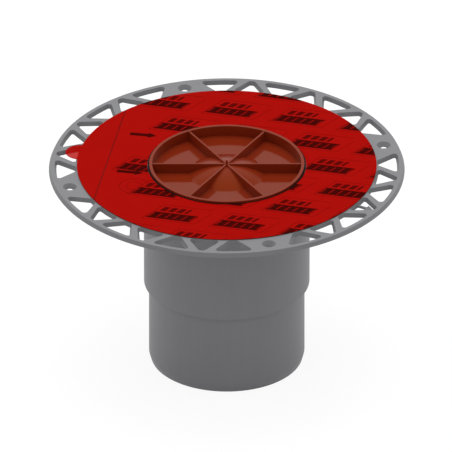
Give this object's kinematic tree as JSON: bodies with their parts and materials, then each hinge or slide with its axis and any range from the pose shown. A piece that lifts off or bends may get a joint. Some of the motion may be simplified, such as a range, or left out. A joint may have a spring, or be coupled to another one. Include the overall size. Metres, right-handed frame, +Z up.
{
  "type": "floor drain",
  "caption": "Vertical floor drain body with a pierced truss flange, peel-off film over its sealing ring, ribbed site plug with lip seal, and a bell odour trap inside.",
  "frame": {"origin": "centre of the spigot's end, which the body stands on", "axes": "+Z up along the drain's axis from the spigot to the flange; the film's pull tab is near -X, turned 10 degrees towards +Y"},
  "size_m": [0.2517, 0.2516, 0.1581],
  "materials": {
    "body_plastic": "satin",
    "sealing_layer": "matt",
    "film": "glossy film",
    "plug_plastic": "glossy",
    "seal_rubber": "matt",
    "trap_plastic": "satin"
  },
  "bodies": {
    "drain": {"drain_body": "body_plastic", "sealing_ring": "sealing_layer", "release_film": "film", "release_film_starter": "film", "trap_gasket": "seal_rubber", "trap_cup": "trap_plastic", "trap_bell": "trap_plastic"},
    "plug": {"site_plug": "plug_plastic", "plug_seal": "seal_rubber"}
  },
  "joints": [
    {"name": "plug_pull", "type": "slide", "parent": "drain", "child": "plug", "axis": [0, 0, 1], "range_m": [0, 0.05]}
  ]
}
